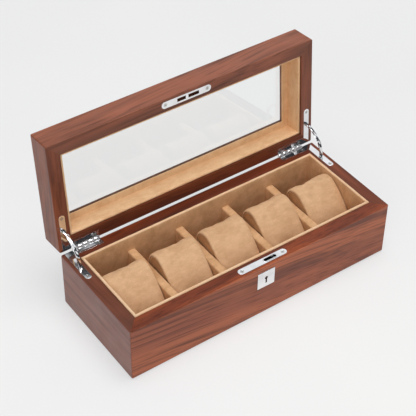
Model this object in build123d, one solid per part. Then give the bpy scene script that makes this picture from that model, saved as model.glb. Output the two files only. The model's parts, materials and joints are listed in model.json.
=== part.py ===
from build123d import *
import os
from math import asin, atan2, cos, degrees, hypot, radians, sin

# Wooden watch box for five watches, lid held open on its stays as at rest.
# The origin is the centre of the underside. X runs along the length and the front faces -Y.

# Case, millimetres
box_length = 310.0
box_depth = 124.0
base_height = 64.0
lid_height = 28.5
rim_gap = 0.6
wall = 14.0
corner_radius = 1.5
rim_radius = 0.7
bottom_thickness = 5.0
rebate_width = 6.0
felt_thickness = 1.0
felt_margin = 2.0
fit_gap = 0.1

# Lid top: the wooden flange round the glass, the glass and the frame that holds it
flange_width = 7.0
flange_thickness = 5.5
glass_thickness = 2.5
glass_gap = 0.4
glass_frame_thickness = 1.5
glass_frame_width = 7.5

# Suede lining
liner_thickness = 3.0
floor_pad_thickness = 2.0
lip_proud = 1.5
lip_gap = 0.6
lip_set_back = 0.4
lip_radius = 0.6

# Compartments
compartments = 5
divider_thickness = 9.0
divider_height = 40.0
divider_radius = 1.5

# Pillows: an oval tube of suede round a foam core, leaning forward in its compartment
pillow_side_gap = 1.5
pillow_long_radius = 41.0
pillow_short_radius = 22.0
pillow_nose_radius = 14.0
pillow_lean = 28.0
pillow_gap = 0.4
wrap_thickness = 2.0
core_recess = 2.5
core_gap = 0.3

# Hinges: L-shaped leaves let into the rims, a five-knuckle barrel just behind the back face
open_angle = 94.8
axis_behind = 1.0
leaf_thickness = 1.5
arm_width = 6.5
arm_centre_in = 7.0
arm_tip_y = 22.5
leg_width = 7.5
leg_end_in = 44.5
leg_back_margin = 0.2
barrel_radius = 2.0
barrel_start_in = 14.0
knuckle_length = 5.8
knuckle_gap = 0.25
knuckles = 5
barrel_clearance = 0.35
pin_radius = 0.9
pin_running_gap = 0.05

# Stays: quarter arcs about the hinge line with a stop pin in each end
stay_radius = 25.0
stay_thickness = 1.4
stay_width = 3.2
stay_slot_gap = 0.35
stop_pin_radius = 1.0
stop_pin_length = 5.4
stop_pin_gap = 0.2
stay_tail = 2.4
pocket_half_width = 1.7
pocket_width = 6.0
pocket_spare_angle = 4.0

# Countersunk screws
screw_head_radius = 1.9
screw_shank_radius = 1.0
screw_head_depth = 0.9
screw_length = 9.0
screw_gap = 0.05
recess_width = 0.5
recess_depth = 0.5
arm_screw_y = 23.0
leg_screw_inset = 3.6
corner_screw_inset = 5.5
plate_screw_inset = 4.4

# Lock: face plate and case in the front board, claw bolt that swings up through the slot
plate_length = 57.5
plate_width = 7.5
plate_thickness = 1.5
slot_from_pivot = 5.0
slot_length = 14.6
slot_width = 3.6
bead_height = 0.25
bead_width = 0.9
case_length = 36.0
case_depth = 8.0
case_height = 25.0
case_wall = 1.0
bolt_end_gap = 1.0
bolt_pivot_drop = 7.0
bolt_arc_radius = 11.0
bolt_arc_band = 2.0
bolt_thickness = 2.4
bolt_tip_angle = 24.0
bolt_heel_angle = -51.0
bolt_hub_radius = 2.6
bolt_arm_width = 2.4
bolt_tail_angle = 215.0
bolt_tail_length = 7.0
post_radius = 1.2
post_running_gap = 0.06
key_post_radius = 0.8
keyhole_radius = 1.8
keyhole_slot_width = 1.7
keyhole_drop = 15.7
keyhole_slot_length = 6.6
escutcheon_size = 20.5
escutcheon_thickness = 1.2
escutcheon_proud = 0.5
escutcheon_drop = 17.0
escutcheon_bevel = 0.3

# Strike plate in the lid's front rim
strike_bar_from_pivot = -3.35
strike_bar_width = 3.1
left_window_length = 9.9
right_window_length = 12.3
window_width = 3.6
strike_pocket_depth = 5.0
strike_pocket_gap = 0.7

# Sizes that follow from those above
spare = 5.0
lid_bottom = base_height + rim_gap
lid_top = lid_bottom + lid_height
inner_length = box_length - 2 * wall
inner_depth = box_depth - 2 * wall
room_length = inner_length - 2 * liner_thickness
room_depth = inner_depth - 2 * liner_thickness
floor_z = felt_thickness + bottom_thickness
pad_top = floor_z + floor_pad_thickness
lip_top = base_height + lip_proud
lid_liner_bottom = lip_top + lip_gap
flange_bottom = lid_top - flange_thickness
glass_bottom = flange_bottom - glass_thickness
glass_frame_bottom = glass_bottom - glass_frame_thickness
compartment_width = (room_length - (compartments - 1) * divider_thickness) / compartments
compartment_pitch = compartment_width + divider_thickness
pillow_width = compartment_width - 2 * pillow_side_gap
axis_y = box_depth / 2 + axis_behind
axis_z = base_height + rim_gap / 2
hinge_line = Location((0, axis_y, axis_z))
arm_x = box_length / 2 - arm_centre_in
leaf_bottom = base_height - leaf_thickness
barrel_start_x = box_length / 2 - barrel_start_in
barrel_length = knuckles * knuckle_length + (knuckles - 1) * knuckle_gap
leg_end_x = box_length / 2 - leg_end_in
plate_y = -box_depth / 2 + wall / 2
plate_bottom = base_height - plate_thickness
bolt_pivot_z = base_height - bolt_pivot_drop
bolt_reach = bolt_arc_radius + bolt_arc_band / 2
bolt_pivot_x = case_length / 2 - case_wall - bolt_end_gap - bolt_reach
slot_centre_x = bolt_pivot_x + slot_from_pivot
strike_bar_x = bolt_pivot_x + strike_bar_from_pivot
keyhole_z = base_height - keyhole_drop
stop_angle = degrees(asin((axis_z - leaf_bottom + stop_pin_gap + stop_pin_radius) / stay_radius))
pocket_angle = open_angle / 2 + stop_angle + stay_tail + pocket_spare_angle


def block(length, depth, low, high, x=0.0, y=0.0):
    """Upright block centred on x and y, from height low to height high."""
    return Pos(x, y, (low + high) / 2) * Box(length, depth, high - low)


def rounded_block(length, depth, low, high, low_radius, high_radius):
    """Block with rounded upright corners and rounded lower and upper outlines."""
    body = block(length, depth, low, high)
    body = fillet(body.edges().filter_by(Axis.Z), corner_radius)
    body = fillet(body.faces().sort_by(Axis.Z)[0].edges(), low_radius)
    return fillet(body.faces().sort_by(Axis.Z)[-1].edges(), high_radius)


def mitre_sector(side):
    """Prism that takes one side of a frame, cut at 45 degrees at the box's corners."""
    reach_x = box_length / 2 + spare
    reach_y = box_depth / 2 + spare
    ridge = reach_x - reach_y
    long_side = Polyline((-reach_x, -reach_y), (reach_x, -reach_y), (ridge, 0), (-ridge, 0), close=True)
    short_side = Polyline((-reach_x, -reach_y), (-ridge, 0), (-reach_x, reach_y), close=True)
    outline = make_face(long_side if side in ("front", "back") else short_side)
    prism = Pos(0, 0, -spare) * extrude(outline, lid_top + 2 * spare)
    if side == "back":
        return mirror(prism, about=Plane.XZ)
    if side == "right":
        return mirror(prism, about=Plane.YZ)
    return prism


def both_sides(left_piece):
    """The left-hand piece and its mirror image."""
    return {"left": left_piece, "right": mirror(left_piece, about=Plane.YZ)}


def to_lid(piece):
    """Mirror image of a base fitting about the plane half-way between the two rims."""
    return mirror(piece, about=Plane.XY.offset(axis_z))


def arc_band(inner, outer, start, stop, width, x):
    """Flat ring sector about the hinge line. Angles run from the rim's direction upwards."""
    plane = Plane(origin=(x, axis_y, axis_z), x_dir=(0, -1, 0), z_dir=(-1, 0, 0))
    rim = CenterArc((0, 0), outer, start, stop - start)
    bore = CenterArc((0, 0), inner, start, stop - start)
    face = make_face([rim, Line(rim @ 1, bore @ 1), bore, Line(bore @ 0, rim @ 0)])
    return plane.location * extrude(face, width / 2, both=True)


def hinge_rod(radius, start_x, length):
    """Round bar on the hinge line, from start_x towards the middle of the box on the left."""
    return Pos(start_x + length / 2, axis_y, axis_z) * Rot(0, 90, 0) * Cylinder(radius, length)


# Screws and their holes, in the base's rim with the head upwards

def screw(x, y, head_z):
    """Countersunk screw with a cross recess."""
    shank_length = screw_length - screw_head_depth
    head = Pos(0, 0, -screw_head_depth / 2) * Cone(screw_shank_radius, screw_head_radius, screw_head_depth)
    shank = Pos(0, 0, -screw_head_depth - shank_length / 2) * Cylinder(screw_shank_radius, shank_length)
    cross = Box(2 * screw_shank_radius, recess_width, 2 * recess_depth)
    body = head + shank - cross - Rot(0, 0, 90) * cross
    return Pos(x, y, head_z) * body


def countersink(x, y, head_z):
    """Tapered hole for a screw head and its shank."""
    wide = screw_head_radius + screw_gap
    narrow = screw_shank_radius + screw_gap
    cone = Pos(0, 0, -screw_head_depth / 2) * Cone(narrow, wide, screw_head_depth)
    shank = Pos(0, 0, -screw_length / 2 - screw_gap) * Cylinder(narrow, screw_length)
    return Pos(x, y, head_z) * (cone + shank)


def hinge_screw_points():
    """Screw places on the left-hand hinge: the arm's tip, the leg's end and the corner."""
    leg_y = box_depth / 2 - leg_back_margin - leg_width / 2
    yield -arm_x, arm_screw_y
    yield -(leg_end_x + leg_screw_inset), leg_y - leg_screw_inset / 4
    yield -(barrel_start_x - corner_screw_inset / 2), leg_y - leg_screw_inset / 4


def plate_screw_points():
    """Screw places at the two ends of the lock's face plate and of the strike plate."""
    reach = plate_length / 2 - plate_screw_inset
    yield -reach, plate_y
    yield reach, plate_y


def cut_all(body, points, head_z):
    """Body with a countersunk hole at each point."""
    for x, y in points:
        body -= countersink(x, y, head_z)
    return body


# Hinges

def leaf_outline(grow):
    """Outline of the left-hand hinge leaf, seen from above, grown by a clearance."""
    leg_length = arm_x + arm_width / 2 - leg_end_x
    leg_x = -(leg_end_x + leg_length / 2)
    leg_y = box_depth / 2 - leg_back_margin - leg_width / 2
    leg = Pos(leg_x, leg_y) * Rectangle(leg_length + 2 * grow, leg_width + 2 * grow)
    arm_length = leg_y - arm_tip_y
    arm = Pos(-arm_x, arm_tip_y + arm_length / 2) * Rectangle(arm_width + 2 * grow, arm_length)
    tip = Pos(-arm_x, arm_tip_y) * Circle(arm_width / 2 + grow)
    return leg + arm + tip


def stay_slot():
    """Slot in the arm that the stay slides through."""
    length = stay_thickness + 2 * stay_slot_gap
    width = stay_width + 2 * stay_slot_gap
    return block(width, length, leaf_bottom - spare, base_height + spare, -arm_x, axis_y - stay_radius)


def knuckle(index, grow=0.0):
    """One knuckle of the barrel, or with grow the room that it turns in."""
    start = -barrel_start_x + index * (knuckle_length + knuckle_gap)
    room = knuckle_gap if grow else 0.0
    return hinge_rod(barrel_radius + grow, start - room, knuckle_length + 2 * room)


def hinge_leaf(own_knuckles):
    """Left-hand leaf for the base with its knuckles, bored for the pin."""
    plate = Pos(0, 0, leaf_bottom) * extrude(leaf_outline(0), leaf_thickness)
    for index in own_knuckles:
        bridge_start = -barrel_start_x + index * (knuckle_length + knuckle_gap)
        bridge_y = axis_y - barrel_radius / 2
        plate += block(knuckle_length, barrel_radius, leaf_bottom, base_height,
                       bridge_start + knuckle_length / 2, bridge_y)
        plate += knuckle(index)
    for index in range(knuckles):
        if index not in own_knuckles:
            plate -= knuckle(index, barrel_clearance)
    plate -= hinge_rod(pin_radius + pin_running_gap, -barrel_start_x - spare, barrel_length + 2 * spare)
    plate = cut_all(plate, hinge_screw_points(), base_height)
    return plate - stay_slot()


def hinge_seat():
    """Room for the left-hand hinge in the base: leaf recess, barrel groove, stay pocket."""
    recess = Pos(0, 0, leaf_bottom) * extrude(leaf_outline(fit_gap), leaf_thickness + spare)
    groove = hinge_rod(barrel_radius + barrel_clearance, -barrel_start_x - knuckle_gap,
                       barrel_length + 2 * knuckle_gap)
    inner = stay_radius - pocket_half_width
    outer = stay_radius + pocket_half_width
    pocket = arc_band(inner, outer, -pocket_angle, 0, pocket_width, -arm_x)
    seat = recess + groove + pocket
    for x, y in hinge_screw_points():
        seat += countersink(x, y, base_height)
    return seat


def stay():
    """Left-hand stay: an arc strip with a stop pin across each end, lid open."""
    inner = stay_radius - stay_thickness / 2
    outer = stay_radius + stay_thickness / 2
    reach = stop_angle + stay_tail
    strip = arc_band(inner, outer, -reach, open_angle + reach, stay_width, -arm_x)
    for angle in (-stop_angle, open_angle + stop_angle):
        y = axis_y - stay_radius * cos(radians(angle))
        z = axis_z + stay_radius * sin(radians(angle))
        strip += Pos(-arm_x, y, z) * Rot(0, 90, 0) * Cylinder(stop_pin_radius, stop_pin_length)
    return strip


# Wooden base

def lock_mortise():
    """Room in the front board for the face plate, the case, the screws and the key."""
    outline = SlotOverall(plate_length + 2 * fit_gap, plate_width + 2 * fit_gap)
    recess = Pos(0, plate_y, plate_bottom) * extrude(outline, plate_thickness + spare)
    case_low = plate_bottom - case_height - fit_gap
    mortise = block(case_length + 2 * fit_gap, case_depth + 2 * fit_gap, case_low, base_height, 0, plate_y)
    return recess + mortise + keyhole_cut(fit_gap) + escutcheon_recess() + plate_screw_holes()


def plate_screw_holes():
    """Holes of the two plate screws."""
    holes = Part()
    for x, y in plate_screw_points():
        holes += countersink(x, y, base_height)
    return holes


def keyhole_prism(grow, start_y, length):
    """Keyhole-shaped prism that runs back from start_y: a round top and a slot below it."""
    face = Circle(keyhole_radius + grow)
    face += Pos(0, -keyhole_slot_length / 2) * Rectangle(keyhole_slot_width + 2 * grow, keyhole_slot_length)
    plane = Plane(origin=(0, start_y, keyhole_z), x_dir=(1, 0, 0), z_dir=(0, -1, 0))
    return plane.location * extrude(face, -length)


def keyhole_cut(grow=0.0):
    """Keyhole from the front face into the lock case."""
    depth = wall / 2
    start_y = -box_depth / 2 - escutcheon_proud - spare
    return keyhole_prism(grow, start_y, depth + escutcheon_proud + spare - case_wall)


def escutcheon_centre_z():
    """Height of the middle of the escutcheon."""
    return base_height - escutcheon_drop


def escutcheon_recess():
    """Shallow recess that the escutcheon is pressed into."""
    size = escutcheon_size + 2 * fit_gap
    depth = escutcheon_thickness - escutcheon_proud
    low = escutcheon_centre_z() - size / 2
    return block(size, 2 * depth, low, low + size, 0, -box_depth / 2)


def base_frame():
    """The four base boards in one piece, before they are parted at the mitres."""
    frame = rounded_block(box_length, box_depth, felt_thickness, base_height, corner_radius, rim_radius)
    frame -= block(inner_length, inner_depth, 0, base_height + spare)
    rebate_length = inner_length + 2 * rebate_width
    rebate_depth = inner_depth + 2 * rebate_width
    frame -= block(rebate_length, rebate_depth, 0, floor_z)
    for seat in both_sides(hinge_seat()).values():
        frame -= seat
    return frame - lock_mortise()


def base_bottom_panel():
    """Bottom panel, let into the rebate of the boards."""
    length = inner_length + 2 * (rebate_width - fit_gap)
    depth = inner_depth + 2 * (rebate_width - fit_gap)
    return block(length, depth, felt_thickness, floor_z)


def base_felt():
    """Felt sheet that the box stands on."""
    length = box_length - 2 * felt_margin
    depth = box_depth - 2 * felt_margin
    sheet = block(length, depth, 0, felt_thickness)
    return fillet(sheet.edges().filter_by(Axis.Z), 2 * corner_radius)


# Wooden lid

def lid_frame():
    """The four lid boards with the flange round the glass, before they are parted."""
    frame = rounded_block(box_length, box_depth, lid_bottom, lid_top, rim_radius, corner_radius)
    frame -= block(inner_length, inner_depth, 0, flange_bottom)
    frame -= block(inner_length - 2 * flange_width, inner_depth - 2 * flange_width, 0, lid_top + spare)
    for seat in both_sides(hinge_seat()).values():
        frame -= to_lid(seat)
    return frame - strike_mortise()


def strike_mortise():
    """Room in the lid's front board for the strike plate, its screws and the claw's tip."""
    outline = SlotOverall(plate_length + 2 * fit_gap, plate_width + 2 * fit_gap)
    recess = Pos(0, plate_y, plate_bottom) * extrude(outline, plate_thickness + spare)
    low_x = strike_bar_x - strike_bar_width / 2 - left_window_length - strike_pocket_gap
    high_x = strike_bar_x + strike_bar_width / 2 + right_window_length + strike_pocket_gap
    pocket = block(high_x - low_x, window_width + 2 * strike_pocket_gap,
                   plate_bottom - strike_pocket_depth, base_height, (low_x + high_x) / 2, plate_y)
    return to_lid(recess + pocket + plate_screw_holes())


# Suede lining

def base_liner():
    """The four lining panels of the base, before they are parted."""
    shell = block(inner_length, inner_depth, floor_z, base_height)
    lip_length = inner_length - 2 * lip_set_back
    lip_depth = inner_depth - 2 * lip_set_back
    shell += block(lip_length, lip_depth, base_height, lip_top)
    shell -= block(room_length, room_depth, 0, lip_top + spare)
    return fillet(shell.faces().sort_by(Axis.Z)[-1].edges(), lip_radius)


def lid_liner():
    """The four lining panels of the lid, before they are parted."""
    shell = block(inner_length, inner_depth, lid_liner_bottom, glass_frame_bottom)
    shell -= block(room_length, room_depth, 0, lid_top)
    return fillet(shell.faces().sort_by(Axis.Z)[0].edges(), lip_radius)


def floor_pad():
    """Suede-covered board on the floor of the base."""
    return block(room_length, room_depth, floor_z, pad_top)


def divider(index):
    """Suede-wrapped divider between two compartments."""
    x = (index - compartments / 2) * compartment_pitch
    body = block(divider_thickness, room_depth, pad_top, pad_top + divider_height, x)
    top_edges = body.faces().sort_by(Axis.Z)[-1].edges().filter_by(Axis.Y)
    return fillet(top_edges, divider_radius)


def glass_frame():
    """Suede-covered frame that holds the glass against the flange."""
    length = inner_length - 2 * fit_gap
    depth = inner_depth - 2 * fit_gap
    frame = block(length, depth, glass_frame_bottom, glass_bottom)
    opening_length = room_length - 2 * glass_frame_width
    opening_depth = room_depth - 2 * glass_frame_width
    return frame - block(opening_length, opening_depth, 0, lid_top)


def lid_glass():
    """Clear glass pane."""
    length = inner_length - 2 * glass_gap
    depth = inner_depth - 2 * glass_gap
    return block(length, depth, glass_bottom, flange_bottom)


# Pillows

def pillow_half_depth():
    """Half of the leaning oval's extent from front to back."""
    lean = radians(pillow_lean)
    return hypot(pillow_long_radius * cos(lean), pillow_short_radius * sin(lean))


def pillow_half_height():
    """Half of the leaning oval's height."""
    lean = radians(pillow_lean)
    return hypot(pillow_long_radius * sin(lean), pillow_short_radius * cos(lean))


def oval_outline(inset):
    """Four-arc oval of one pillow, drawn smaller by inset: two tight noses and two flat sides."""
    nose_x = pillow_long_radius - pillow_nose_radius
    squares = pillow_long_radius**2 + pillow_short_radius**2
    doubled = 2 * (pillow_short_radius - pillow_nose_radius)
    side_radius = (squares - 2 * pillow_long_radius * pillow_nose_radius) / doubled
    side_y = side_radius - pillow_short_radius
    side_angle = degrees(atan2(nose_x, side_y))
    nose_angle = 90 - side_angle
    arcs = []
    for turn, sign in ((0, 1), (180, -1)):
        nose = CenterArc((sign * nose_x, 0), pillow_nose_radius - inset, turn - nose_angle, 2 * nose_angle)
        side = CenterArc((0, -sign * side_y), side_radius - inset, turn + nose_angle, 2 * side_angle)
        arcs += [nose, side]
    return make_face(arcs)


def pillow_oval(x, inset, width):
    """Oval solid along the box, lower in front, resting near the floor and the front lining."""
    y = -room_depth / 2 + pillow_gap + pillow_half_depth()
    z = pad_top + pillow_gap + pillow_half_height()
    plane = Plane(origin=(x, y, z), x_dir=(0, 1, 0), z_dir=(1, 0, 0))
    return plane.location * Rot(0, 0, pillow_lean) * extrude(oval_outline(inset), width / 2, both=True)


def pillow_wrap(x):
    """Suede tube of one pillow."""
    return pillow_oval(x, 0, pillow_width) - pillow_oval(x, wrap_thickness, pillow_width + 2 * spare)


def pillow_core(x):
    """Foam core of one pillow, set back from the ends of its wrap."""
    return pillow_oval(x, wrap_thickness + core_gap, pillow_width - 2 * core_recess)


# Lock

def lock_face_plate():
    """Face plate with the bolt's slot in a raised bead."""
    plate = extrude(SlotOverall(plate_length, plate_width), plate_thickness)
    bead = SlotOverall(slot_length + 2 * bead_width, slot_width + 2 * bead_width)
    plate += Pos(slot_centre_x, 0, plate_thickness) * extrude(bead, bead_height)
    slot = extrude(SlotOverall(slot_length, slot_width), plate_thickness + bead_height)
    plate = Pos(0, plate_y, plate_bottom) * (plate - Pos(slot_centre_x, 0, 0) * slot)
    return cut_all(plate, plate_screw_points(), base_height)


def lock_case():
    """Thin-walled lock case under the face plate, open at the top, with its keyhole."""
    low = plate_bottom - case_height
    case = block(case_length, case_depth, low, plate_bottom, 0, plate_y)
    case -= block(case_length - 2 * case_wall, case_depth - 2 * case_wall,
                  low + case_wall, plate_bottom + spare, 0, plate_y)
    return case - keyhole_prism(0, plate_y - case_depth / 2 - spare, spare + 2 * case_wall)


def cross_post(x, z, radius, length):
    """Round post across the case, with its rear end on the case's rear wall."""
    rear = plate_y + case_depth / 2 - case_wall
    return Pos(x, rear - length / 2, z) * Rot(90, 0, 0) * Cylinder(radius, length)


def lock_posts():
    """Pivot post of the bolt and the post that centres the key."""
    inner = case_depth - 2 * case_wall
    pivot = cross_post(bolt_pivot_x, bolt_pivot_z, post_radius, inner)
    key_post = cross_post(0, keyhole_z, key_post_radius, inner)
    return [pivot, key_post]


def lock_bolt():
    """Claw bolt at rest in the case: hub, arm, arc-shaped claw and the tail the key pushes."""
    inner = bolt_arc_radius - bolt_arc_band / 2
    outer = bolt_arc_radius + bolt_arc_band / 2
    sweep = bolt_tip_angle - bolt_heel_angle
    rim = CenterArc((0, 0), outer, bolt_heel_angle, sweep)
    bore = CenterArc((0, 0), inner, bolt_heel_angle, sweep)
    claw = make_face([rim, Line(rim @ 1, bore @ 1), bore, Line(bore @ 0, rim @ 0)])
    arm_length = bolt_arc_radius
    arm_angle = bolt_heel_angle + degrees(bolt_arm_width / 2 / bolt_arc_radius)
    arm = Rot(0, 0, arm_angle) * Pos(arm_length / 2, 0) * Rectangle(arm_length, bolt_arm_width)
    tail = Rot(0, 0, bolt_tail_angle) * Pos(bolt_tail_length / 2, 0) * SlotOverall(
        bolt_tail_length + bolt_arm_width, bolt_arm_width)
    face = claw + arm + tail + Circle(bolt_hub_radius) - Circle(post_radius + post_running_gap)
    plane = Plane(origin=(bolt_pivot_x, plate_y, bolt_pivot_z), x_dir=(1, 0, 0), z_dir=(0, -1, 0))
    return plane.location * extrude(face, bolt_thickness / 2, both=True)


def escutcheon():
    """Square keyhole plate on the front face."""
    low = escutcheon_centre_z() - escutcheon_size / 2
    front_y = -box_depth / 2 - escutcheon_proud
    plate = block(escutcheon_size, escutcheon_thickness, low, low + escutcheon_size,
                  0, front_y + escutcheon_thickness / 2)
    plate = chamfer(plate.faces().sort_by(Axis.Y)[0].edges(), escutcheon_bevel)
    return plate - keyhole_cut()


def strike_plate():
    """Strike plate of the lid with its two windows."""
    plate = extrude(SlotOverall(plate_length, plate_width), plate_thickness)
    left_x = strike_bar_x - strike_bar_width / 2 - left_window_length / 2
    right_x = strike_bar_x + strike_bar_width / 2 + right_window_length / 2
    plate -= Pos(left_x, 0, 0) * Box(left_window_length, window_width, 4 * plate_thickness)
    plate -= Pos(right_x, 0, 0) * Box(right_window_length, window_width, 4 * plate_thickness)
    plate = Pos(0, plate_y, plate_bottom) * plate
    return to_lid(cut_all(plate, plate_screw_points(), base_height))


# The pieces of the box, each under its own name

def opened(piece):
    """A lid piece turned from the closed lid to the open one, about the hinge line."""
    return hinge_line * Rot(-open_angle, 0, 0) * hinge_line.inverse() * piece


def base_pieces():
    """Every piece that stays with the base."""
    pieces = {}
    boards = base_frame()
    liner = base_liner()
    for side in ("front", "back", "left", "right"):
        pieces[f"base_{side}_board"] = boards & mitre_sector(side)
        pieces[f"base_liner_{side}"] = liner & mitre_sector(side)
    pieces["base_bottom_panel"] = base_bottom_panel()
    pieces["base_felt"] = base_felt()
    pieces["base_floor_pad"] = floor_pad()
    for index in range(1, compartments):
        pieces[f"divider_{index}"] = divider(index)
    for side, leaf in both_sides(hinge_leaf((0, 2, 4))).items():
        pieces[f"hinge_base_leaf_{side}"] = leaf
    pin = hinge_rod(pin_radius, -barrel_start_x, barrel_length)
    pieces["hinge_pins"] = list(both_sides(pin).values())
    left_screws = [screw(x, y, base_height) for x, y in hinge_screw_points()]
    pieces["hinge_screws_base"] = left_screws + [mirror(item, about=Plane.YZ) for item in left_screws]
    pieces["lock_face_plate"] = lock_face_plate()
    pieces["lock_case"] = lock_case()
    pieces["lock_posts"] = lock_posts()
    pieces["lock_screws"] = [screw(x, y, base_height) for x, y in plate_screw_points()]
    pieces["escutcheon"] = escutcheon()
    return pieces


def moving_pieces():
    """The bolt, the stays and the pillows, which move by themselves."""
    pieces = {"lock_bolt": lock_bolt()}
    for side, strip in both_sides(stay()).items():
        pieces[f"stay_{side}"] = strip
    for index in range(compartments):
        x = (index - (compartments - 1) / 2) * compartment_pitch
        pieces[f"pillow_wrap_{index + 1}"] = pillow_wrap(x)
        pieces[f"pillow_core_{index + 1}"] = pillow_core(x)
    return pieces


def lid_pieces():
    """Every piece that swings with the lid, as it lies when the lid is shut."""
    pieces = {}
    boards = lid_frame()
    liner = lid_liner()
    for side in ("front", "back", "left", "right"):
        pieces[f"lid_{side}_board"] = boards & mitre_sector(side)
        pieces[f"lid_liner_{side}"] = liner & mitre_sector(side)
    pieces["lid_glass"] = lid_glass()
    pieces["lid_glass_frame"] = glass_frame()
    for side, leaf in both_sides(to_lid(hinge_leaf((1, 3)))).items():
        pieces[f"hinge_lid_leaf_{side}"] = leaf
    left_screws = [to_lid(screw(x, y, base_height)) for x, y in hinge_screw_points()]
    pieces["hinge_screws_lid"] = left_screws + [mirror(item, about=Plane.YZ) for item in left_screws]
    pieces["strike_plate"] = strike_plate()
    pieces["strike_screws"] = [to_lid(screw(x, y, base_height)) for x, y in plate_screw_points()]
    return pieces


def as_list(piece):
    """A piece's separate solids."""
    return piece if isinstance(piece, list) else [piece]


def save(name, solids):
    """Write one piece, or one group of like pieces, to its own file."""
    shape = solids[0] if len(solids) == 1 else Compound(children=solids)
    export_step(shape, os.path.join("parts", name + ".step"))


os.makedirs("parts", exist_ok=True)
for name, piece in (base_pieces() | moving_pieces()).items():
    save(name, as_list(piece))
for name, piece in lid_pieces().items():
    save(name, [opened(item) for item in as_list(piece)])
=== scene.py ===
import json
import math

import bmesh
import bpy
from mathutils import Matrix, Vector, noise


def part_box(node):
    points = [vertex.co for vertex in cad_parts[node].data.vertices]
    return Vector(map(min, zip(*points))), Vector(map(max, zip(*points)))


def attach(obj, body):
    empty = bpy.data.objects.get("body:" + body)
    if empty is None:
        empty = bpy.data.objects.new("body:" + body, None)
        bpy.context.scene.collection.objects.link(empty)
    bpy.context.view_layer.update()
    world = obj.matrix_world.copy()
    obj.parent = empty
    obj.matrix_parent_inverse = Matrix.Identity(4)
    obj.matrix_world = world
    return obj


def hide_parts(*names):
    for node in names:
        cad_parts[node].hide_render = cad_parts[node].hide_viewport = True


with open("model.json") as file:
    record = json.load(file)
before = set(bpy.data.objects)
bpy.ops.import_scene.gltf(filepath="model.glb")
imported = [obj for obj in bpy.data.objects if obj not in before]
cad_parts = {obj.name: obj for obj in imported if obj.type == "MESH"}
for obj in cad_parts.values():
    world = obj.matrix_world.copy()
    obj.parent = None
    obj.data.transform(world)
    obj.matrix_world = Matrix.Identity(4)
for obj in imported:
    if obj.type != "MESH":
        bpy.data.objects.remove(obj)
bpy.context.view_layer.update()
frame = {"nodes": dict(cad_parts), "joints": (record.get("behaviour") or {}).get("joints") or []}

MM = 0.001
LID_HINGE = next(joint for joint in frame["joints"] if joint["name"] == "lid_hinge")
OPEN_ANGLE = math.radians(LID_HINGE["range_deg"][0])
HINGE_POINT = Vector(LID_HINGE["pos_m"])
PILLOWS = 5
SIDES = ("front", "back", "left", "right")


# Node helpers

class Tree:
    """A node tree with short ways to add nodes and join them."""

    def __init__(self, tree):
        self.nodes = tree.nodes
        self.links = tree.links

    def put(self, socket, value):
        """Join a socket to another, or give it a value."""
        if isinstance(value, bpy.types.NodeSocket):
            self.links.new(value, socket)
        else:
            socket.default_value = value

    def add(self, kind, inputs=None, **settings):
        """A new node of that kind, with its settings and inputs."""
        node = self.nodes.new("ShaderNode" + kind)
        for key, value in settings.items():
            setattr(node, key, value)
        for socket, value in (inputs or {}).items():
            self.put(node.inputs[socket], value)
        return node

    def position(self):
        """Place of a point in the piece's own frame, which is the shared frame at rest."""
        return self.add("TexCoord").outputs["Object"]

    def moved(self, vector, location=(0, 0, 0), rotation=(0, 0, 0), scale=(1, 1, 1)):
        """Vector after scale, turn and shift."""
        inputs = {"Vector": vector, "Location": location, "Rotation": rotation, "Scale": scale}
        return self.add("Mapping", inputs).outputs["Vector"]

    def noise(self, vector, scale, detail=2.0, roughness=0.5, distortion=0.0):
        """Noise from 0 to 1 at that many features a metre."""
        inputs = {"Vector": vector, "Scale": scale, "Detail": detail, "Roughness": roughness,
                  "Distortion": distortion}
        return self.add("TexNoise", inputs).outputs["Fac"]

    def stretched(self, vector, features, roughness=0.5, location=(0, 0, 0)):
        """Noise with its own number of features a metre along each axis."""
        placed = self.moved(vector, location=location, scale=features)
        return self.noise(placed, 1.0, roughness=roughness)

    def math(self, operation, first, second):
        """One arithmetic step."""
        node = self.add("Math", operation=operation)
        self.put(node.inputs[0], first)
        self.put(node.inputs[1], second)
        return node.outputs[0]

    def weigh(self, first, first_share, second, second_share):
        """Sum of two values, each by its share."""
        return self.math("ADD", self.math("MULTIPLY", first, first_share),
                         self.math("MULTIPLY", second, second_share))

    def span(self, value, low, high, new_low=0.0, new_high=1.0):
        """Value from low to high brought to new_low to new_high, with the rest cut off."""
        inputs = {"Value": value, "From Min": low, "From Max": high,
                  "To Min": new_low, "To Max": new_high}
        return self.add("MapRange", inputs).outputs["Result"]

    def mix(self, share, first, second, blend="MIX"):
        """Colour between first and second."""
        node = self.add("Mix", data_type="RGBA", blend_type=blend)
        self.put(node.inputs["Factor"], share)
        self.put(node.inputs[6], first)
        self.put(node.inputs[7], second)
        return node.outputs[2]


class Shader(Tree):
    """A material, with its surface shader and its output at hand."""

    def __init__(self, name):
        self.material = bpy.data.materials.new(name)
        self.material.use_nodes = True
        super().__init__(self.material.node_tree)
        self.surface = self.nodes["Principled BSDF"]
        self.output = self.nodes["Material Output"]

    def bump(self, height, strength, distance, normal=None):
        """Surface normal raised by height."""
        inputs = {"Height": height, "Strength": strength, "Distance": distance}
        if normal is not None:
            inputs["Normal"] = normal
        return self.add("Bump", inputs).outputs["Normal"]

    def finish(self, **inputs):
        """Set the surface shader's inputs, with _ for a space in a name."""
        for key, value in inputs.items():
            self.put(self.surface.inputs[key.replace("_", " ")], value)
        return self.material

    def replace_share(self, share, other):
        """Let another shader take that share of the surface."""
        both = self.add("MixShader", {0: share, 1: self.surface.outputs[0], 2: other.outputs[0]})
        self.links.new(both.outputs[0], self.output.inputs["Surface"])


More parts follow.
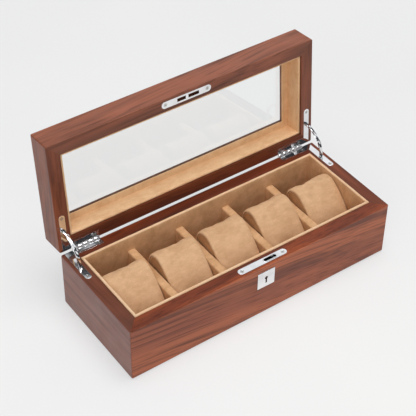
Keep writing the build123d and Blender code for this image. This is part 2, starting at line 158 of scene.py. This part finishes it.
def colour(red, green, blue):
    """Colour written as it looks on a screen, 0 to 255, as the linear value that a shader takes."""
    linear = []
    for channel in (red, green, blue):
        share = channel / 255
        linear.append(share / 12.92 if share <= 0.04045 else ((share + 0.055) / 1.055) ** 2.4)
    return (*linear, 1.0)


def shaded(tone, factor):
    """Screen colour times a factor, up to full brightness."""
    return colour(*[min(255, factor * channel) for channel in tone])


# Materials

# Grain of the wood: features a metre along the grain, then in the two directions across it.
SWING_GRAIN = (4.0, 11.0, 11.0)
TONE_GRAIN = (2.0, 42.0, 42.0)
STREAK_GRAIN = (1.6, 120.0, 120.0)
LINE_GRAIN = (3.0, 520.0, 520.0)
PORE_GRAIN = (90.0, 2300.0, 2300.0)
FIGURE_GRAIN = (14.0, 60.0, 60.0)
SWING = 26 * MM
STREAK_STRENGTH = 0.62
LINE_STRENGTH = 0.52
FIGURE_STRENGTH = 0.45
PORE_STRENGTH = 0.40
EDGE_STRENGTH = 0.35
# Painted shade: a darker, redder tone multiplied into the upward faces of the base's boards, such as
# its rim, to hold down the light from above.
RIM_PAINTED_SHADE = (0.72, 0.55, 0.40, 1.0)

# Each board's place in the log in metres, slant of its grain in degrees, warm and shaded tone as
# screen colours, and strength of its streaks.
BOARDS = {
    "base_front_board": ((0.3, 0.2, 0.1), -8.0, (182, 103, 68), (148, 80, 57), 1.0),
    "base_back_board": ((1.3, 0.7, 0.4), -3.0, (150, 80, 54), (116, 64, 48), 0.9),
    # Painted sheen: the left board's greyer, paler tones and weak streaks stand in for the white floor
    # it reflects at a grazing angle.
    "base_left_board": ((0.1, 1.9, 0.6), 2.0, (150, 100, 86), (130, 86, 76), 0.45),
    "base_right_board": ((2.6, 0.3, 0.8), -2.0, (168, 98, 74), (132, 80, 62), 0.8),
    "lid_front_board": ((0.8, 2.2, 1.4), 3.0, (166, 98, 72), (130, 80, 62), 0.8),
    # Painted shade: the lid's back board, lowest when the lid is open, has darker tones.
    "lid_back_board": ((2.1, 1.2, 0.2), -2.0, (132, 68, 42), (102, 54, 38), 0.8),
    "lid_left_board": ((0.6, 0.9, 2.3), -3.0, (152, 84, 56), (122, 70, 52), 0.7),
    "lid_right_board": ((1.7, 2.8, 1.1), 2.0, (158, 90, 62), (126, 74, 54), 0.7),
    "base_bottom_panel": ((3.1, 0.4, 0.9), 0.0, (150, 100, 78), (124, 84, 68), 0.6),
}

SHEEN_TINT = colour(255, 226, 190)

# Lighter and darker screen colour of each suede.
SUEDES = {
    "suede_lining": ((236, 190, 144), (208, 160, 114)),
    "suede_pillow": ((234, 192, 150), (212, 168, 126)),
    # Painted shade: a darker copy of the pillow suede for the pillow's sunk cap.
    "suede_cap_painted_shade": ((222, 174, 126), (196, 146, 100)),
    # Painted shade: a much darker suede on the deep groove just inside each pillow's rolled rim.
    "suede_seam_painted_shade": ((142, 98, 60), (110, 72, 42)),
    # Painted highlight: lighter suede for the upward faces of the base lining's folded edge.
    "suede_lip_painted_highlight": ((250, 214, 176), (240, 196, 154)),
    # Painted light: a lighter copy of the lining's suede for the lid's lining and glass ledge.
    "suede_lid": ((252, 212, 166), (236, 188, 140)),
}


def closed_lid_position(shader):
    """Place of a lid point as it lies when the lid is shut, so that the grain runs on across it."""
    shift = shut_matrix().to_translation()
    return shader.moved(shader.position(), location=shift, rotation=(-OPEN_ANGLE, 0, 0))


def bent_grain(shader, board):
    """Board coordinates swung slowly from side to side, so that the grain flows."""
    inputs = {"Vector": shader.moved(board, scale=SWING_GRAIN), "Scale": 1.0, "Detail": 1.0}
    swing = shader.add("TexNoise", inputs).outputs["Color"]
    half = (0.5, 0.5, 0.5)
    centred = shader.add("VectorMath", {0: swing, 1: half}, operation="SUBTRACT").outputs[0]
    drift = shader.add("VectorMath", {0: centred, "Scale": SWING}, operation="SCALE").outputs[0]
    return shader.add("VectorMath", {0: board, 1: drift}, operation="ADD").outputs[0]


def wood(node, place_in_log, slant, warm, shade, figured):
    """Satin lacquered wood with flowing dark streaks along the board.

    slant is the grain's angle in degrees, warm and shade tint the board, and figured is the
    strength of its streaks. Boards at the left and right have their grain along y.
    """
    shader = Shader("wood_" + node)
    in_lid = node.startswith("lid_")
    along_y = node.endswith(("_left_board", "_right_board"))
    place = closed_lid_position(shader) if in_lid else shader.position()
    turn = math.radians(90) if along_y else 0.0
    board = shader.moved(place, location=place_in_log, rotation=(0, 0, turn))
    board = shader.moved(board, rotation=(0, math.radians(slant), math.radians(slant / 3)))
    flow = bent_grain(shader, board)

    tone = shader.stretched(flow, TONE_GRAIN)
    streak = shader.stretched(flow, STREAK_GRAIN, 0.55, location=(2, 5, 7))
    line = shader.stretched(flow, LINE_GRAIN, 0.6, location=(9, 1, 3))
    pore = shader.stretched(board, PORE_GRAIN, 0.6)
    figure = shader.stretched(flow, FIGURE_GRAIN, location=(4, 4, 4))

    dark = colour(0.60 * shade[0], 0.56 * shade[1], 0.54 * shade[2])
    black = colour(0.46 * shade[0], 0.40 * shade[1], 0.36 * shade[2])
    glow = shaded(warm, 1.12)
    base = shader.mix(shader.span(tone, 0.36, 0.64), colour(*warm), colour(*shade))
    base = shader.mix(shader.span(streak, 0.50, 0.66, 0.0, STREAK_STRENGTH * figured), base, dark)
    base = shader.mix(shader.span(line, 0.50, 0.64, 0.0, LINE_STRENGTH * figured), base, black)
    base = shader.mix(shader.span(figure, 0.52, 0.80, 0.0, FIGURE_STRENGTH), base, glow)
    base = shader.mix(shader.span(pore, 0.60, 0.82, 0.0, PORE_STRENGTH), base, black)
    edge = shader.span(shader.add("NewGeometry").outputs["Pointiness"], 0.52, 0.62)
    base = shader.mix(shader.math("MULTIPLY", edge, EDGE_STRENGTH), base, dark)
    # The base's upward faces are darkened with the painted shade.
    if not in_lid:
        base = shader.mix(facing_up(shader), base, RIM_PAINTED_SHADE, "MULTIPLY")

    height = shader.weigh(line, 0.5, pore, 0.5)
    rough = shader.span(shader.noise(board, 60.0, 3.0), 0.3, 0.7, 0.30, 0.42)
    return shader.finish(Base_Color=base, Roughness=rough, Specular_IOR_Level=0.24, Coat_Weight=0.06,
                         Coat_Roughness=0.2, Normal=shader.bump(height, 0.12, 0.3 * MM))


def facing_up(shader):
    """1 on the faces that lie flat and look up, such as the rim of the base, and 0 elsewhere."""
    inputs = {0: shader.add("TexCoord").outputs["Normal"], 1: (0, 0, 1)}
    upward = shader.add("VectorMath", inputs, operation="DOT_PRODUCT").outputs["Value"]
    return shader.span(upward, 0.85, 0.98)


def suede(name, light, dark):
    """Short-napped microfibre suede, brushed lighter and darker in patches."""
    shader = Shader(name)
    place = shader.position()
    patch = shader.noise(place, 42.0, 3.0, 0.6, 0.6)
    brushed = shader.noise(shader.moved(place, scale=(1.0, 2.4, 1.0)), 120.0, 4.0, 0.65)
    fibre = shader.noise(place, 1900.0, 3.0, 0.7)
    speck = shader.noise(place, 620.0, 2.0, 0.6)
    share = shader.weigh(patch, 0.55, brushed, 0.45)
    base = shader.mix(shader.span(share, 0.38, 0.62), colour(*dark), colour(*light))
    base = shader.mix(shader.span(fibre, 0.35, 0.75, 0.0, 0.36), base, shaded(dark, 0.72))
    base = shader.mix(shader.span(speck, 0.55, 0.80, 0.0, 0.22), base, shaded(light, 1.12))
    height = shader.weigh(fibre, 0.6, brushed, 0.9)
    return shader.finish(Base_Color=base, Roughness=0.95, Specular_IOR_Level=0.15, Sheen_Weight=0.35,
                         Sheen_Roughness=0.45, Sheen_Tint=SHEEN_TINT,
                         Normal=shader.bump(height, 0.35, 0.6 * MM))


def plated(name, tone, rough, streaks=0.04):
    """Bright plated metal, a little wavy, with faint polishing marks."""
    shader = Shader(name)
    place = shader.position()
    marks = shader.noise(shader.moved(place, scale=(1.0, 9.0, 9.0)), 260.0, 3.0, 0.7)
    smudge = shader.noise(place, 70.0, 2.0)
    wear = shader.weigh(marks, 0.5, smudge, 0.5)
    base = shader.mix(shader.span(smudge, 0.35, 0.65), colour(*tone), shaded(tone, 0.94))
    wavy = shader.bump(shader.noise(place, 45.0, 0.0), 1.0, 1.6 * MM)
    return shader.finish(Base_Color=base, Metallic=1.0,
                         Roughness=shader.span(wear, 0.3, 0.7, rough, rough + streaks),
                         Normal=shader.bump(marks, 0.05, 0.1 * MM, wavy))


def felt():
    """Brown wool felt."""
    shader = Shader("felt")
    place = shader.position()
    fibre = shader.noise(place, 900.0, 4.0, 0.75, 1.5)
    patch = shader.noise(place, 60.0, 2.0)
    base = shader.mix(shader.span(patch, 0.3, 0.7), colour(58, 38, 28), colour(78, 54, 41))
    base = shader.mix(shader.span(fibre, 0.5, 0.8, 0.0, 0.5), base, colour(112, 84, 66))
    return shader.finish(Base_Color=base, Roughness=1.0, Sheen_Weight=0.4, Sheen_Roughness=0.6,
                         Normal=shader.bump(fibre, 0.6, 0.6 * MM))


def glass():
    """Clear float glass that lets the light through to what lies behind it."""
    shader = Shader("glass")
    haze = shader.noise(shader.position(), 25.0, 3.0)
    rough = shader.span(haze, 0.3, 0.8, 0.0, 0.02)
    pane = shader.finish(Base_Color=(0.97, 0.985, 0.98, 1.0), Roughness=rough, IOR=1.46,
                         Transmission_Weight=1.0)
    clear = shader.add("BsdfTransparent", {"Color": (0.95, 0.965, 0.96, 1.0)})
    shader.replace_share(shader.add("LightPath").outputs["Is Shadow Ray"], clear)
    return pane


# Mesh helpers

def new_object(name, mesh):
    """A mesh as an object in the scene."""
    piece = bpy.data.objects.new(name, mesh)
    bpy.context.scene.collection.objects.link(piece)
    return piece


def grid_mesh(name, rows, close_ends=True):
    """Mesh through rows of points, each row a closed loop, with its two ends closed where asked."""
    mesh = bmesh.new()
    loops = [[mesh.verts.new(point) for point in row] for row in rows]
    count = len(loops[0])
    for first, second in zip(loops, loops[1:]):
        for index in range(count):
            after = (index + 1) % count
            mesh.faces.new((first[index], first[after], second[after], second[index]))
    if close_ends:
        mesh.faces.new(list(reversed(loops[0])))
        mesh.faces.new(loops[-1])
    bmesh.ops.recalc_face_normals(mesh, faces=mesh.faces)
    data = bpy.data.meshes.new(name)
    mesh.to_mesh(data)
    mesh.free()
    return data


def smooth(piece, levels=0, angle=50):
    """Smooth shading, with edges sharper than angle kept, and subdivision where asked."""
    for polygon in piece.data.polygons:
        polygon.use_smooth = True
    piece.data.set_sharp_from_angle(angle=math.radians(angle))
    if levels:
        modifier = piece.modifiers.new("smooth", "SUBSURF")
        modifier.levels = modifier.render_levels = levels
    return piece


def unevenness(point, size, amount):
    """Small smooth shift that makes a padded surface look hand-covered."""
    return noise.noise(Vector(point) / size) * amount


def dress(piece, body, material, nodes):
    """Give a soft piece its finish and its body, and hide the CAD nodes that it stands in for."""
    piece.data.materials.append(material)
    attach(piece, body)
    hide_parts(*nodes)


def shut_matrix():
    """Turns a lid piece from where it rests, open, to where it lies shut."""
    centre = Matrix.Translation(HINGE_POINT)
    return centre @ Matrix.Rotation(-OPEN_ANGLE, 4, "X") @ centre.inverted()


def closed_box(node):
    """Lowest and highest corner of a lid node as it lies with the lid shut."""
    turned = [shut_matrix() @ vertex.co for vertex in frame["nodes"][node].data.vertices]
    low = Vector([min(point[axis] for point in turned) for axis in range(3)])
    high = Vector([max(point[axis] for point in turned) for axis in range(3)])
    return low, high


# Suede lining: one swept panel for each side, mitred at its ends

BASE_LIP_RADIUS = 1.1 * MM
LID_LIP_RADIUS = 1.0 * MM
LIP_INSET = 0.15 * MM
LIP_BAND = 1.3 * MM
LEDGE_WIDTH = 7.5 * MM
FLOOR_SAG = 0.3 * MM
DIVIDER_EDGE = 1.9 * MM

# Length and height of the slow waves in each padded surface.
LINING_WAVE = (22 * MM, 0.18 * MM)
FLOOR_WAVE = (20 * MM, 0.30 * MM)
DIVIDER_WAVE = (18 * MM, 0.35 * MM)
PILLOW_WAVE = (16 * MM, 0.25 * MM)


def lip_profile(thickness, low, high, roundness, upward):
    """Cross-section of a lining panel as (depth from the wood, height), rounded at its open edge."""
    steps = 6
    rim = high if upward else low
    root = low if upward else high
    sign = 1 if upward else -1
    points = [(0.0, root)]
    for step in range(steps + 1):
        angle = math.pi * (1 - step / steps)
        depth = thickness / 2 + (thickness / 2 - LIP_INSET) * math.cos(angle)
        points.append((depth, rim - sign * roundness * (1 - math.sin(angle))))
    rows = 10
    for row in range(1, rows + 1):
        share = row / rows
        points.append((thickness, rim - sign * (roundness + share * (abs(rim - root) - roundness))))
    return points


def lining_panel(name, side, outer, profile, turn=None):
    """Panel swept along one side of the room, following the profile, with mitred ends."""
    half_length, half_depth = outer
    along_x = side in ("front", "back")
    half = half_length if along_x else half_depth
    reach = half_depth if along_x else half_length
    sign = -1 if side in ("front", "left") else 1
    steps = 56 if along_x else 20
    rows = []
    for step in range(steps + 1):
        share = 2 * step / steps - 1
        row = []
        for depth, height in profile:
            along = share * (half - depth)
            across = sign * (reach - depth)
            if depth > 0:
                across -= sign * unevenness((along, across, height), *LINING_WAVE)
            row.append((along, across, height) if along_x else (across, along, height))
        rows.append(row)
    mesh = grid_mesh(name, rows)
    if turn:
        mesh.transform(turn)
    return smooth(new_object(name, mesh), angle=40)


def base_lining(material, painted_lip_highlight):
    """The four panels of the base. Their folded edge stands above the wood, and its upward faces take
    the lighter lip suede: a painted highlight.
    """
    low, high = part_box("base_liner_front")
    profile = lip_profile(high.y - low.y, low.z, high.z, BASE_LIP_RADIUS, True)
    for side in SIDES:
        node = f"base_liner_{side}"
        panel = lining_panel(f"base_lining_{side}", side, (high.x, -low.y), profile)
        dress(panel, "base", material, [node])
        panel.data.materials.append(painted_lip_highlight)
        # Upward faces of the folded edge take the lighter lip suede, a painted highlight.
        for polygon in panel.data.polygons:
            if polygon.center.z > high.z - LIP_BAND and polygon.normal.z > 0.2:
                polygon.material_index = 1


def lid_lining(material):
    """The four panels of the lid, made shut and turned open."""
    low, high = closed_box("lid_liner_front")
    profile = lip_profile(high.y - low.y, low.z, high.z, LID_LIP_RADIUS, False)
    opened = shut_matrix().inverted()
    for side in SIDES:
        node = f"lid_liner_{side}"
        panel = lining_panel(f"lid_lining_{side}", side, (high.x, -low.y), profile, opened)
        dress(panel, "lid", material, [node])


def glass_ledge(material):
    """Suede-covered frame that holds the glass, made shut, with a soft inner edge."""
    low, high = closed_box("lid_glass_frame")
    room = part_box("base_floor_pad")[1]
    width = LEDGE_WIDTH + high.x - room.x
    middle = (low.z + high.z) / 2
    half = (high.z - low.z) / 2
    steps = 8
    profile = [(0.0, high.z), (0.0, low.z), (width * 0.35, low.z), (width * 0.7, low.z)]
    for step in range(steps + 1):
        angle = math.pi * (0.5 - step / steps)
        profile.append((width - half + half * math.cos(angle), middle - half * math.sin(angle)))
    profile.append((width * 0.5, high.z))
    opened = shut_matrix().inverted()
    for side in SIDES:
        bar = lining_panel(f"glass_ledge_{side}", side, (high.x, high.y), profile, opened)
        nodes = ["lid_glass_frame"] if side == "front" else []
        dress(bar, "lid", material, nodes)


def floor_pad(material):
    """Padded floor: a board with a softly uneven top."""
    low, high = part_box("base_floor_pad")
    columns = 60
    steps = 24
    across = [low.x + (high.x - low.x) * index / columns for index in range(columns + 1)]
    rows = []
    for step in range(steps + 1):
        y = low.y + (high.y - low.y) * step / steps
        row = []
        for x in across:
            row.append((x, y, high.z - FLOOR_SAG - abs(unevenness((x, y, 0), *FLOOR_WAVE))))
        row += [(x, y, low.z) for x in reversed(across)]
        rows.append(row)
    pad = smooth(new_object("floor_pad", grid_mesh("floor_pad", rows)))
    dress(pad, "base", material, ["base_floor_pad"])


def divider(index, material):
    """Wrapped divider with softened top edges and slightly uneven sides."""
    node = f"divider_{index}"
    name = f"divider_cover_{index}"
    low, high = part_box(node)
    centre = (low.x + high.x) / 2
    half = (high.x - low.x) / 2
    shoulder = high.z - DIVIDER_EDGE
    rows_up = 8
    outline = [(-half, low.z + (shoulder - low.z) * row / rows_up) for row in range(rows_up)]
    steps = 8
    for step in range(steps + 1):
        angle = math.pi * (1 - step / (2 * steps))
        reach = DIVIDER_EDGE * (1 + math.cos(angle))
        outline.append((reach - half, shoulder + DIVIDER_EDGE * math.sin(angle)))
    outline += [(-x, z) for x, z in reversed(outline)]
    lengths = 24
    rows = []
    for step in range(lengths + 1):
        y = low.y + (high.y - low.y) * step / lengths
        row = []
        for x, z in outline:
            dip = abs(unevenness((x * 3 + index, y, z), *DIVIDER_WAVE))
            row.append((centre + x * (1 - dip / half), y, z - dip * (z > low.z)))
        rows.append(row)
    cover = smooth(new_object(name, grid_mesh(name, rows)), angle=60)
    dress(cover, "base", material, [node])


# Pillows: a swollen sleeve between two rolled rims, with a sunk cap at each end

LONG_RADIUS = 32.6 * MM
SHORT_RADIUS = 16.5 * MM
NOSE_RADIUS = 14.8 * MM
LEAN = math.radians(45)
PILLOW_Y = -3.3 * MM
PILLOW_Z = 35.6 * MM
PILLOW_HALF_WIDTH = 23.2 * MM
RIM_RADIUS = 2.0 * MM
SLEEVE_INSET = 0.5 * MM
AROUND = 120
ACROSS = 14
BULGE_CAP = 1.3 * MM
SWELLING_FRAMES = 20
CAP_BANDS = 8
# Bands of the groove inside each rolled rim, which take the dark seam suede as painted shade.
SEAM_BANDS = (11, 12, 13)

# Folds of a pillow's end inside the rolled rim, in millimetres: inset from the oval, then depth.
END_FOLDS = (
    (2.6, 0.0), (2.8, 0.25), (2.9, 1.1), (3.0, 1.2),
    (3.1, 0.8), (3.4, 0.45), (3.8, 0.4), (4.2, 0.55),
    (4.4, 0.9), (4.5, 1.2), (4.6, 1.4), (4.9, 1.4),
    (5.4, 1.2), (6.4, 1.0), (8.2, 0.8), (10.0, 0.7),
)


def oval_point(angle, inset):
    """Point of the four-arc oval whose outward direction is at that angle, drawn in by inset."""
    squares = LONG_RADIUS**2 + SHORT_RADIUS**2
    side_radius = (squares - 2 * LONG_RADIUS * NOSE_RADIUS) / (2 * (SHORT_RADIUS - NOSE_RADIUS))
    nose_x = LONG_RADIUS - NOSE_RADIUS
    side_y = side_radius - SHORT_RADIUS
    nose_half = math.pi / 2 - math.atan2(nose_x, side_y)
    direction = Vector((math.cos(angle), math.sin(angle)))
    if abs(direction.y) < math.sin(nose_half):
        centre = Vector((math.copysign(nose_x, direction.x), 0))
        return centre + direction * (NOSE_RADIUS - inset)
    centre = Vector((0, -math.copysign(side_y, direction.y)))
    return centre + direction * (side_radius - inset)


def oval_ring(x, inset, centre):
    """Leaning oval ring at x along the box."""
    ring = []
    for index in range(AROUND):
        point = Matrix.Rotation(LEAN, 2) @ oval_point(2 * math.pi * index / AROUND, inset)
        ring.append((centre.x + x, centre.y + point.x, centre.z + point.y))
    return ring


def sleeve_mesh(name, centre):
    """Open tube that the cloth simulation fills out."""
    reach = PILLOW_HALF_WIDTH - RIM_RADIUS
    places = [reach * (2 * step / ACROSS - 1) for step in range(ACROSS + 1)]
    rings = [oval_ring(place, SLEEVE_INSET, centre) for place in places]
    return grid_mesh(name, rings, close_ends=False)


def fill_out(sleeve):
    """Cloth simulation: the tube swells between its two pinned rims, by no more than the cap."""
    before = [vertex.co.copy() for vertex in sleeve.data.vertices]
    last_rim = AROUND * ACROSS
    rims = sleeve.vertex_groups.new(name="rims")
    rims.add([*range(AROUND), *range(last_rim, last_rim + AROUND)], 1.0, "REPLACE")
    cloth = sleeve.modifiers.new("cloth", "CLOTH")
    cloth.settings.quality = 6
    cloth.settings.mass = 0.2
    cloth.settings.tension_stiffness = 18
    cloth.settings.compression_stiffness = 18
    cloth.settings.bending_stiffness = 1.2
    cloth.settings.vertex_group_mass = "rims"
    cloth.settings.shrink_min = -0.015
    cloth.settings.use_pressure = True
    cloth.settings.uniform_pressure_force = 1.2
    cloth.settings.effector_weights.gravity = 0
    cloth.point_cache.frame_start = 1
    cloth.point_cache.frame_end = SWELLING_FRAMES
    for number in range(1, SWELLING_FRAMES + 1):
        bpy.context.scene.frame_set(number)
    depsgraph = bpy.context.evaluated_depsgraph_get()
    after = [vertex.co.copy() for vertex in sleeve.evaluated_get(depsgraph).data.vertices]
    sleeve.modifiers.remove(cloth)
    sleeve.vertex_groups.clear()
    bpy.context.scene.frame_set(1)
    for vertex, old, new in zip(sleeve.data.vertices, before, after):
        move = new - old
        if move.length > BULGE_CAP:
            move *= BULGE_CAP / move.length
        vertex.co = old + move


def end_profile():
    """The end of a pillow as (inset, depth behind the end): rolled rim, seam, inner roll and cap."""
    steps = 6
    profile = []
    for step in range(1, steps + 1):
        angle = math.pi / 2 * step / steps
        inset = SLEEVE_INSET + RIM_RADIUS * (1 - math.cos(angle))
        profile.append((inset, RIM_RADIUS * (1 - math.sin(angle))))
    return profile + [(inset * MM, depth * MM) for inset, depth in END_FOLDS]


def pillow(index, material, painted_cap_shade, painted_seam_shade):
    """One watch pillow, with its sunk cap and the groove by its rim in darker suedes: painted shade."""
    wrap = f"pillow_wrap_{index}"
    low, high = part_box(wrap)
    centre = Vector(((low.x + high.x) / 2, PILLOW_Y, PILLOW_Z))
    name = f"pillow_{index}_suede"
    sleeve = new_object(name + "_sleeve", sleeve_mesh(name + "_sleeve", centre))
    fill_out(sleeve)
    points = [vertex.co.copy() for vertex in sleeve.data.vertices]
    bpy.data.objects.remove(sleeve)
    rings = [points[start:start + AROUND] for start in range(0, len(points), AROUND)]
    ends = end_profile()
    left = [oval_ring(depth - PILLOW_HALF_WIDTH, inset, centre) for inset, depth in reversed(ends)]
    right = [oval_ring(PILLOW_HALF_WIDTH - depth, inset, centre) for inset, depth in ends]
    rows = []
    for ring in left + rings + right:
        rows.append([Vector(point) + Vector((0, 0, unevenness(point, *PILLOW_WAVE))) for point in ring])
    mesh = grid_mesh(name, rows)
    piece = smooth(new_object(name, mesh), levels=1, angle=180)
    dress(piece, f"pillow_{index}", material, [wrap, f"pillow_core_{index}"])
    mesh.materials.append(painted_cap_shade)
    mesh.materials.append(painted_seam_shade)
    bands = len(rows) - 1
    for polygon in mesh.polygons:
        band = polygon.index // AROUND
        from_end = min(band, bands - 1 - band)
        # Painted shade: the sunk cap takes the darker cap suede.
        if from_end < CAP_BANDS:
            polygon.material_index = 1
        # Painted shade: the groove inside the rim takes the dark seam suede.
        elif from_end in SEAM_BANDS:
            polygon.material_index = 2


# Felt sheet under the box

FELT_CORNER = 3.0 * MM
FELT_FUZZ = 0.2 * MM
FELT_TUFTS = 400
FELT_STEP = 4 * MM


def felt_outline(low, high):
    """Outline of the felt, with rounded corners and its long sides cut into short steps."""
    corners = ((high.x, high.y), (low.x, high.y), (low.x, low.y), (high.x, low.y))
    steps = 8
    outline = []
    for turn, (x, y) in enumerate(corners):
        centre = Vector((x - math.copysign(FELT_CORNER, x), y - math.copysign(FELT_CORNER, y)))
        for step in range(steps + 1):
            angle = math.pi / 2 * (turn + step / steps)
            outline.append(centre + FELT_CORNER * Vector((math.cos(angle), math.sin(angle))))
    fine = []
    for first, second in zip(outline, outline[1:] + outline[:1]):
        pieces = max(1, int((second - first).length / FELT_STEP))
        fine += [first.lerp(second, step / pieces) for step in range(pieces)]
    return fine


def felt_sheet(material):
    """Felt sheet with a slightly fuzzy cut edge."""
    low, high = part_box("base_felt")
    outline = felt_outline(low, high)
    rows = []
    for height, inset in ((low.z, 0.25 * MM), (low.z + 0.3 * MM, 0.0),
                          (high.z - 0.2 * MM, 0.0), (high.z, 0.2 * MM)):
        row = []
        for point in outline:
            fuzz = FELT_FUZZ * noise.noise(Vector((point.x, point.y, height)) * FELT_TUFTS)
            row.append((*(point * (1 - (inset + abs(fuzz)) / point.length)), height))
        rows.append(row)
    sheet = smooth(new_object("felt_sheet", grid_mesh("felt_sheet", rows)))
    sheet.data.materials.append(material)
    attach(sheet, "base")
    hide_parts("base_felt")


# Hard pieces: the CAD nodes with their finish, and softened edges on the bright metal

METAL_EDGE = 0.15 * MM
WELD_REACH = 0.002 * MM
FLAT_ANGLE = math.radians(1)
SHARP_ANGLE = math.radians(35)


def finish_node(node, material, edge_width=0.0):
    """Give a CAD node its material, and a small edge round where asked."""
    piece = frame["nodes"][node]
    piece.data.materials.clear()
    piece.data.materials.append(material)
    if edge_width:
        weld = piece.modifiers.new("weld", "WELD")
        weld.merge_threshold = WELD_REACH
        flat = piece.modifiers.new("flat", "DECIMATE")
        flat.decimate_type = "DISSOLVE"
        flat.angle_limit = FLAT_ANGLE
        edge = piece.modifiers.new("edge", "BEVEL")
        edge.width = edge_width
        edge.segments = 2
        edge.limit_method = "ANGLE"
        edge.angle_limit = SHARP_ANGLE
        edge.harden_normals = True


def finish_boards():
    """Wood for each board."""
    for node, facts in BOARDS.items():
        finish_node(node, wood(node, *facts))


def finish_metal():
    """Plating for the hinges, stays, lock and screws, and plain steel inside the lock."""
    chrome = plated("chrome", (240, 240, 241), 0.035)
    satin = plated("screw_steel", (208, 208, 206), 0.16)
    steel = plated("lock_steel", (140, 140, 142), 0.32, 0.15)
    leaves = [f"hinge_{part}_leaf_{side}" for part in ("base", "lid") for side in ("left", "right")]
    plates = ["stay_left", "stay_right", "lock_face_plate", "strike_plate", "escutcheon"]
    for node in leaves + plates:
        finish_node(node, chrome, METAL_EDGE)
    for node in ("hinge_pins", "hinge_screws_base", "hinge_screws_lid", "lock_screws", "strike_screws"):
        finish_node(node, satin)
    for node in ("lock_case", "lock_posts", "lock_bolt"):
        finish_node(node, steel)


# Studio

CAMERA_PLACE = Vector((-0.5531, -0.7295, 0.8985))
CAMERA_RIGHT = Vector((0.816, -0.578, 0.011))
CAMERA_UP = Vector((0.3754, 0.5443, 0.7502))
CAMERA_LENS = 108.6
SENSOR_WIDTH = 36.0

ROOM_LIGHT = 0.34
ROOM_SHEEN = 0.95
ROOM_WHITE = (0.97, 0.98, 1.0, 1.0)
SCREEN_BLACK = (0.05, 0.05, 0.055, 1.0)
SCREEN_SCALE = 3.1

FLOOR_HALF = 4.0
FLOOR_GLOW = 1.03
GLOW_SHARE = 0.6

# Place, size in metres and power in watts of each lamp.
LAMPS = {
    "key": ((0.1, -0.1, 1.8), 0.9, 18),
    "fill": ((-1.1, -1.1, 1.1), 1.0, 7.5),
}
LAMP_AIM = Vector((0, 0, 0.06))


def camera():
    """Camera at the photograph's angle and distance."""
    data = bpy.data.cameras.new("camera")
    data.lens = CAMERA_LENS
    data.sensor_width = SENSOR_WIDTH
    view = new_object("camera", data)
    forward = CAMERA_UP.cross(CAMERA_RIGHT).normalized()
    right = forward.cross(CAMERA_UP).normalized()
    up = right.cross(forward)
    rotation = Matrix((right, up, -forward)).transposed().to_4x4()
    view.matrix_world = Matrix.Translation(CAMERA_PLACE) @ rotation
    bpy.context.scene.camera = view


def lamp(name, place, size, power):
    """Soft square lamp aimed at the middle of the box."""
    data = bpy.data.lights.new(name, "AREA")
    data.shape = "SQUARE"
    data.size = size
    data.energy = power
    light = new_object(name, data)
    light.location = place
    aim = LAMP_AIM - Vector(place)
    light.rotation_mode = "QUATERNION"
    light.rotation_quaternion = aim.to_track_quat("-Z", "Y")


def surroundings():
    """White room, with a few soft dark screens that only reflections show."""
    world = bpy.data.worlds.new("surroundings")
    world.use_nodes = True
    bpy.context.scene.world = world
    room = Tree(world.node_tree)
    background = room.nodes["Background"]
    reflected = room.add("LightPath").outputs["Is Glossy Ray"]
    screens = room.noise(room.add("TexCoord").outputs["Generated"], SCREEN_SCALE, 0.0)
    dark = room.math("MULTIPLY", room.span(screens, 0.46, 0.52), reflected)
    room.put(background.inputs["Color"], room.mix(dark, ROOM_WHITE, SCREEN_BLACK))
    room.put(background.inputs["Strength"], room.span(reflected, 0.0, 1.0, ROOM_LIGHT, ROOM_SHEEN))


def floor():
    """Pale ground, partly self-lit where it is seen straight, in a mirror or through glass."""
    shader = Shader("floor")
    tone = shader.noise(shader.position(), 2.2)
    pale = shader.mix(shader.span(tone, 0.3, 0.7), colour(238, 238, 239), colour(244, 244, 243))
    material = shader.finish(Base_Color=pale, Roughness=0.85, Specular_IOR_Level=0.2)
    path = shader.add("LightPath").outputs
    seen = shader.math("MAXIMUM", path["Is Camera Ray"], path["Is Glossy Ray"])
    seen = shader.math("MAXIMUM", seen, path["Is Transmission Ray"])
    glow = shader.add("Emission", {"Color": pale, "Strength": FLOOR_GLOW})
    shader.replace_share(shader.math("MULTIPLY", seen, GLOW_SHARE), glow)
    mesh = bmesh.new()
    bmesh.ops.create_grid(mesh, x_segments=2, y_segments=2, size=FLOOR_HALF)
    data = bpy.data.meshes.new("floor")
    mesh.to_mesh(data)
    mesh.free()
    ground = new_object("floor", data)
    data.materials.append(material)


def studio():
    """Pale floor, pale surroundings and soft lamps."""
    floor()
    surroundings()
    for name, facts in LAMPS.items():
        lamp(name, *facts)


def main():
    """Dress the box."""
    camera()
    studio()
    finish_boards()
    finish_metal()
    finish_node("lid_glass", glass())
    suedes = {name: suede(name, *tones) for name, tones in SUEDES.items()}
    base_lining(suedes["suede_lining"], suedes["suede_lip_painted_highlight"])
    lid_lining(suedes["suede_lid"])
    glass_ledge(suedes["suede_lid"])
    floor_pad(suedes["suede_lining"])
    for index in range(1, PILLOWS):
        divider(index, suedes["suede_lining"])
    for index in range(1, PILLOWS + 1):
        pillow(index, suedes["suede_pillow"], suedes["suede_cap_painted_shade"], suedes["suede_seam_painted_shade"])
    felt_sheet(felt())
    bpy.context.scene.view_settings.view_transform = "Standard"


main()
